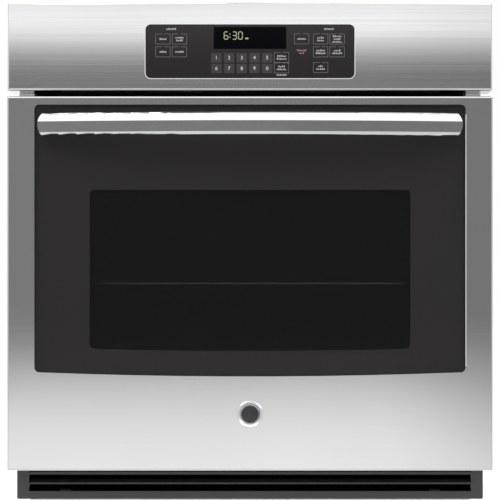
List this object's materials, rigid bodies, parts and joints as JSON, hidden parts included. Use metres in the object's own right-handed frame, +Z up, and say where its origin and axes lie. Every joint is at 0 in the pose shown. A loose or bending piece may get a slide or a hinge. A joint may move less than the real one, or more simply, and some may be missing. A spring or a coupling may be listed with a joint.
{
  "type": "wall oven",
  "caption": "Built-in electric wall oven with drop-down glass door, bowed handle, touch control panel, racks and louvred base trim.",
  "frame": {"origin": "middle of the overall box, on the plane the base rails stand on", "axes": "-Y faces the room, +Y goes into the cabinet, +Z up, +X to the right seen from the front"},
  "size_m": [0.6794, 0.6819, 0.7017],
  "materials": {
    "steel_brushed": "brushed",
    "steel_plain": "satin",
    "galvanized": "zinc coated, satin",
    "porcelain": "glossy enamel with fine pale speckle",
    "element_steel": "matte oxidised",
    "rack_chrome": "bright plated",
    "hinge_steel": "zinc plated",
    "fastener": "plated",
    "black_glass": "glossy black",
    "clear_glass": "clear",
    "trim_black": "satin dark grey",
    "duct_steel": "satin",
    "black_plastic": "matte moulded",
    "motor_steel": "laminated",
    "circuit_board": "green laminate",
    "gland_zinc": "cast",
    "insulation": "glass wool",
    "gasket": "woven glass-fibre tube",
    "badge_metal": "polished rim, dark centre"
  },
  "bodies": {
    "oven_case": {"air_duct": "duct_steel", "bake_element": "element_steel", "base_rails": "galvanized", "base_trim": "trim_black", "blower_housing": "duct_steel", "broil_element": "element_steel", "broil_hangers": "steel_plain", "case_back": "galvanized", "case_base": "galvanized", "case_left_side": "galvanized", "case_right_side": "galvanized", "case_screws": "fastener", "case_top": "galvanized", "conduit_gland": "gland_zinc", "control_board": "circuit_board", "control_chassis": "galvanized", "control_glass": "black_glass", "control_skin": "steel_brushed", "display_module": "black_plastic", "door_switch": "black_plastic", "fan_motor": "motor_steel", "front_frame": "porcelain", "hinge_arms": "hinge_steel", "hinge_receivers": "galvanized", "insulation_wrap": "insulation", "junction_box": "galvanized", "lamp_bulb": "clear_glass", "lamp_lens": "clear_glass", "lamp_socket": "steel_plain", "latch_motor": "galvanized", "oven_gasket": "gasket", "oven_liner": "porcelain", "oven_vent_tube": "duct_steel", "side_trim_left": "steel_plain", "side_trim_right": "steel_plain", "temperature_sensor": "steel_plain", "terminal_block": "black_plastic", "thermal_cutout": "galvanized"},
    "door": {"door_skin": "steel_brushed", "door_outer_glass": "black_glass", "badge": "badge_metal", "door_side_rails": "galvanized", "window_frame": "steel_plain", "window_panes": "clear_glass", "door_inner_panel": "porcelain", "latch_strike": "hinge_steel", "door_inner_glass": "clear_glass", "door_insulation": "insulation", "door_vent_trim": "trim_black", "handle_bar": "steel_brushed", "handle_posts": "steel_brushed", "handle_screws": "fastener", "hinge_channels": "hinge_steel", "hinge_pins": "hinge_steel", "hinge_springs": "hinge_steel"},
    "upper_rack": {"upper_rack": "rack_chrome"},
    "lower_rack": {"lower_rack": "rack_chrome"},
    "latch_hook": {"latch_hook": "steel_plain"},
    "switch_plunger": {"switch_plunger": "black_plastic"},
    "fan_wheel": {"fan_wheel": "black_plastic"}
  },
  "joints": [
    {"name": "door_hinge", "type": "hinge", "parent": "oven_case", "child": "door", "pos_m": [0, -0.257, 0.055], "axis": [1, 0, 0], "range_deg": [0, 90], "stiffness_Nm_per_rad": 22, "springref_deg": -20.05},
    {"name": "upper_rack_slide", "type": "slide", "parent": "oven_case", "child": "upper_rack", "axis": [0, -1, 0], "range_m": [0, 0.285]},
    {"name": "lower_rack_slide", "type": "slide", "parent": "oven_case", "child": "lower_rack", "axis": [0, -1, 0], "range_m": [0, 0.159]},
    {"name": "latch_turn", "type": "hinge", "parent": "oven_case", "child": "latch_hook", "pos_m": [0, -0.223, 0.544], "axis": [0, 0, 1], "range_deg": [0, 14]},
    {"name": "switch_travel", "type": "slide", "parent": "oven_case", "child": "switch_plunger", "axis": [0, -1, 0], "range_m": [0, 0.0045]},
    {"name": "fan_spin", "type": "hinge", "parent": "oven_case", "child": "fan_wheel", "pos_m": [0, 0.093, 0.6076], "axis": [0, 0, 1], "continuous": true}
  ],
  "couplings": [
    {"joint": "upper_rack_slide", "follows": "door_hinge", "m_per_rad": 0.18},
    {"joint": "lower_rack_slide", "follows": "door_hinge", "m_per_rad": 0.1},
    {"joint": "switch_travel", "follows": "door_hinge", "m_per_rad": 0.0025}
  ]
}
